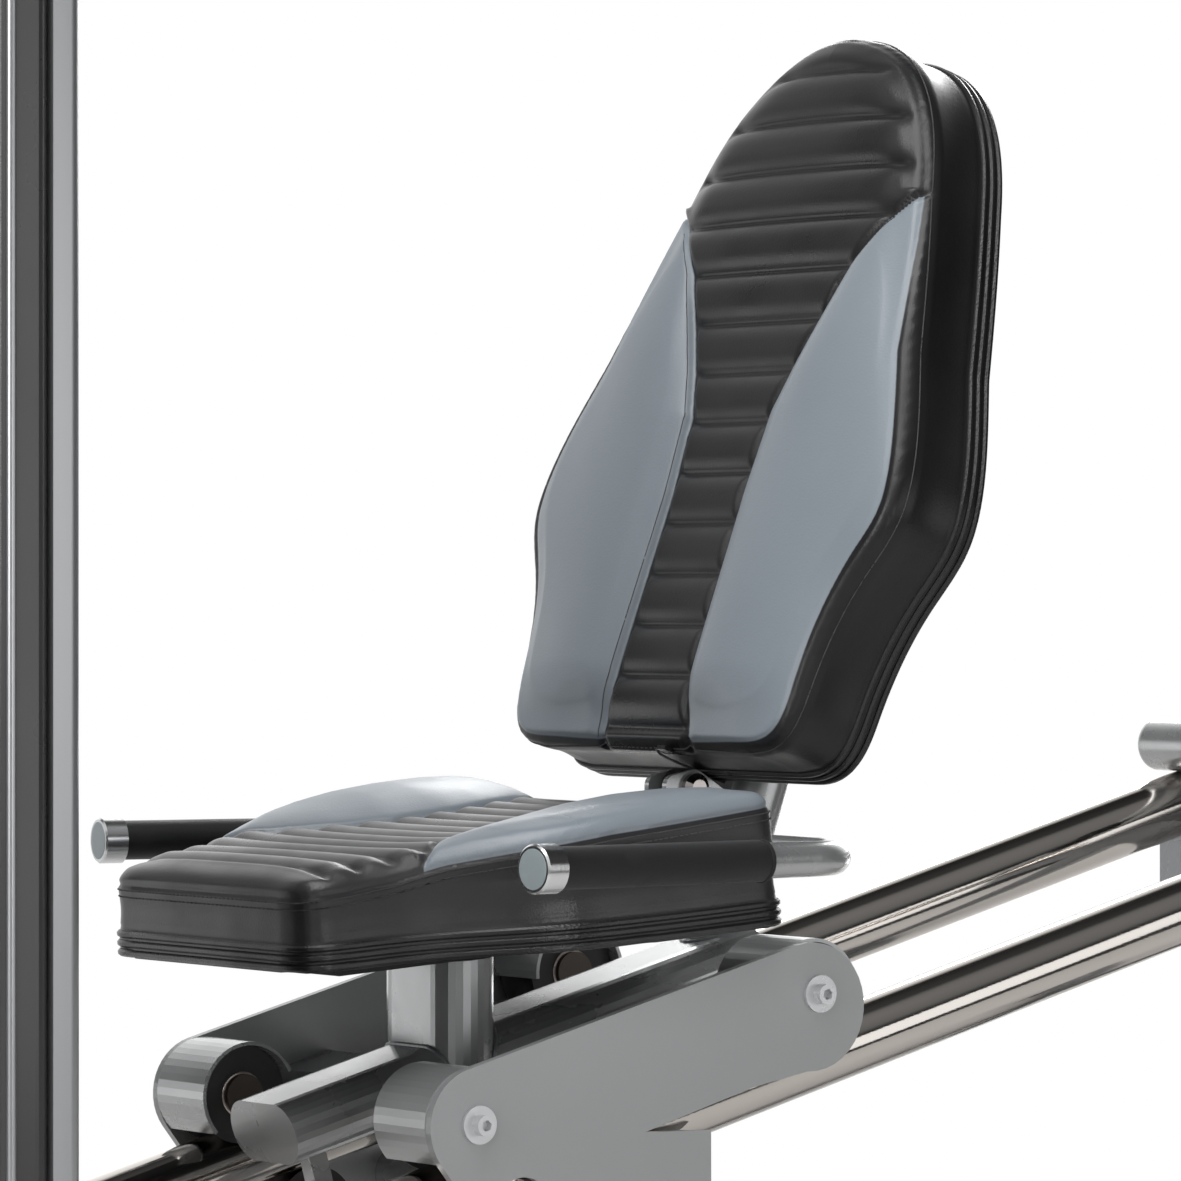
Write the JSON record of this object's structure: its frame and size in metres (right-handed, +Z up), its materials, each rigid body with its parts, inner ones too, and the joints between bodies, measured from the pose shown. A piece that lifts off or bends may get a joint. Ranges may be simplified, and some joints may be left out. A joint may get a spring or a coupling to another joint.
{
  "type": "seated leg press with sliding seat carriage",
  "caption": "Inclined sliding seat carriage with wheels on two chrome rails, padded seat and tilting back pad, side handles, and a cable to a weight tower.",
  "frame": {"origin": "on the floor below the middle of the machine's overall box", "axes": "+X up the rails, away from the tower; +Y across, to the seated user's right; +Z up"},
  "size_m": [1.85, 0.7076, 1.52],
  "materials": {
    "chrome_rail": "polished chrome tube",
    "silver_paint": "satin silver-grey powder coat",
    "plate_paint": "satin light grey paint",
    "frame_paint": "satin grey powder coat",
    "tower_paint": "satin anthracite powder coat",
    "panel_paint": "gloss grey sheet",
    "black_steel": "black powder coat",
    "iron_plate": "black stove-enamelled iron",
    "zinc": "zinc plated",
    "rod_chrome": "polished chrome",
    "cable": "coated steel rope",
    "rubber": "matt black rubber",
    "grip_foam": "matt black grip sleeve",
    "tyre": "black polyurethane wheel",
    "alu_cap": "satin aluminium",
    "black_plastic": "black moulded nylon",
    "pin_plastic": "red knob on a steel pin",
    "grey_leather": "grey upholstery leather with black inserts",
    "black_leather": "black upholstery leather with grey wings"
  },
  "bodies": {
    "frame": {"rail_left": "chrome_rail", "rail_right": "chrome_rail", "rail_plugs": "black_plastic", "upper_cross_tube": "silver_paint", "rubber_stops": "rubber", "front_crossmember": "frame_paint", "base_beam": "frame_paint", "rear_foot": "frame_paint", "foot_pads": "rubber", "rear_post": "frame_paint", "stop_post": "frame_paint", "tower_post_left": "tower_paint", "tower_post_right": "tower_paint", "side_panel_left": "panel_paint", "side_panel_right": "panel_paint", "front_cover": "tower_paint", "tower_top": "tower_paint", "tower_base": "tower_paint", "guide_rods": "rod_chrome", "stack_cushions": "rubber", "foot_plate": "black_steel", "foot_plate_bars": "tower_paint", "pulley_brackets": "frame_paint", "plates_resting": "iron_plate", "cable_low": "cable", "cable_riser": "cable"},
    "carriage": {"side_plate_left": "plate_paint", "side_plate_right": "plate_paint", "front_fenders": "silver_paint", "rear_fenders": "silver_paint", "spine_tube": "silver_paint", "cross_bars": "silver_paint", "axles": "zinc", "axle_screws": "zinc", "seat_post": "silver_paint", "seat_bracket": "black_steel", "seat_pad": "black_leather", "handle_left": "silver_paint", "handle_right": "silver_paint", "grip_left": "grip_foam", "grip_right": "grip_foam", "handle_caps": "alu_cap", "back_post": "silver_paint", "pivot_lug": "silver_paint", "pivot_bolt": "zinc"},
    "backrest": {"back_frame": "black_steel", "back_pad": "grey_leather"},
    "tilt_knob": {"tilt_knob": "black_plastic"},
    "wheel_front_left": {"wheel_front_left": "tyre"},
    "wheel_front_right": {"wheel_front_right": "tyre"},
    "wheel_rear_left": {"wheel_rear_left": "tyre"},
    "wheel_rear_right": {"wheel_rear_right": "tyre"},
    "guide_roller_left": {"guide_roller_left": "tyre"},
    "guide_roller_right": {"guide_roller_right": "tyre"},
    "base_pulley": {"base_pulley": "black_plastic"},
    "top_pulley": {"top_pulley": "black_plastic"},
    "stack": {"plates_lifted": "iron_plate", "stack_head": "iron_plate", "cable_drop": "cable"},
    "selector_pin": {"selector_pin": "pin_plastic"}
  },
  "joints": [
    {"name": "carriage_slide", "type": "slide", "parent": "frame", "child": "carriage", "axis": [0.9632, 0, 0.2689], "range_m": [0, 0.565]},
    {"name": "wheel_front_left_spin", "type": "hinge", "parent": "carriage", "child": "wheel_front_left", "pos_m": [-0.19699, -0.17, 0.358], "axis": [0, 1, 0], "continuous": true},
    {"name": "wheel_rear_left_spin", "type": "hinge", "parent": "carriage", "child": "wheel_rear_left", "pos_m": [0.12567, -0.17, 0.44809], "axis": [0, 1, 0], "continuous": true},
    {"name": "guide_roller_left_spin", "type": "hinge", "parent": "carriage", "child": "guide_roller_left", "pos_m": [-0.12272, -0.17, 0.25934], "axis": [0, 1, 0], "continuous": true},
    {"name": "wheel_front_right_spin", "type": "hinge", "parent": "carriage", "child": "wheel_front_right", "pos_m": [-0.19699, 0.17, 0.358], "axis": [0, 1, 0], "continuous": true},
    {"name": "wheel_rear_right_spin", "type": "hinge", "parent": "carriage", "child": "wheel_rear_right", "pos_m": [0.12567, 0.17, 0.44809], "axis": [0, 1, 0], "continuous": true},
    {"name": "guide_roller_right_spin", "type": "hinge", "parent": "carriage", "child": "guide_roller_right", "pos_m": [-0.12272, 0.17, 0.25934], "axis": [0, 1, 0], "continuous": true},
    {"name": "base_pulley_spin", "type": "hinge", "parent": "frame", "child": "base_pulley", "pos_m": [-0.67476, 0, 0.21734], "axis": [0, 1, 0], "continuous": true},
    {"name": "top_pulley_spin", "type": "hinge", "parent": "frame", "child": "top_pulley", "pos_m": [-0.775, 0, 1.4], "axis": [0, 1, 0], "continuous": true},
    {"name": "stack_lift", "type": "slide", "parent": "frame", "child": "stack", "axis": [0, 0, 1], "range_m": [0, 0.565], "deforming": ["cable_drop"]},
    {"name": "selector_pull", "type": "slide", "parent": "stack", "child": "selector_pin", "axis": [-1, 0, 0], "range_m": [0, 0.085]},
    {"name": "back_tilt", "type": "hinge", "parent": "carriage", "child": "backrest", "pos_m": [0.14041, 0, 0.60721], "axis": [0, 1, 0], "range_deg": [-14, 0]},
    {"name": "clamp_turn", "type": "hinge", "parent": "carriage", "child": "tilt_knob", "pos_m": [0.26835, 0, 0.74913], "axis": [0, 1, 0], "range_deg": [0, 180]}
  ],
  "couplings": [
    {"joint": "wheel_front_left_spin", "follows": "carriage_slide", "rad_per_m": 35.461},
    {"joint": "wheel_rear_left_spin", "follows": "carriage_slide", "rad_per_m": 35.461},
    {"joint": "guide_roller_left_spin", "follows": "carriage_slide", "rad_per_m": -34.247},
    {"joint": "wheel_front_right_spin", "follows": "carriage_slide", "rad_per_m": 35.461},
    {"joint": "wheel_rear_right_spin", "follows": "carriage_slide", "rad_per_m": 35.461},
    {"joint": "guide_roller_right_spin", "follows": "carriage_slide", "rad_per_m": -34.247},
    {"joint": "base_pulley_spin", "follows": "carriage_slide", "rad_per_m": -20},
    {"joint": "top_pulley_spin", "follows": "carriage_slide", "rad_per_m": 20},
    {"joint": "stack_lift", "follows": "carriage_slide", "ratio": 1}
  ]
}
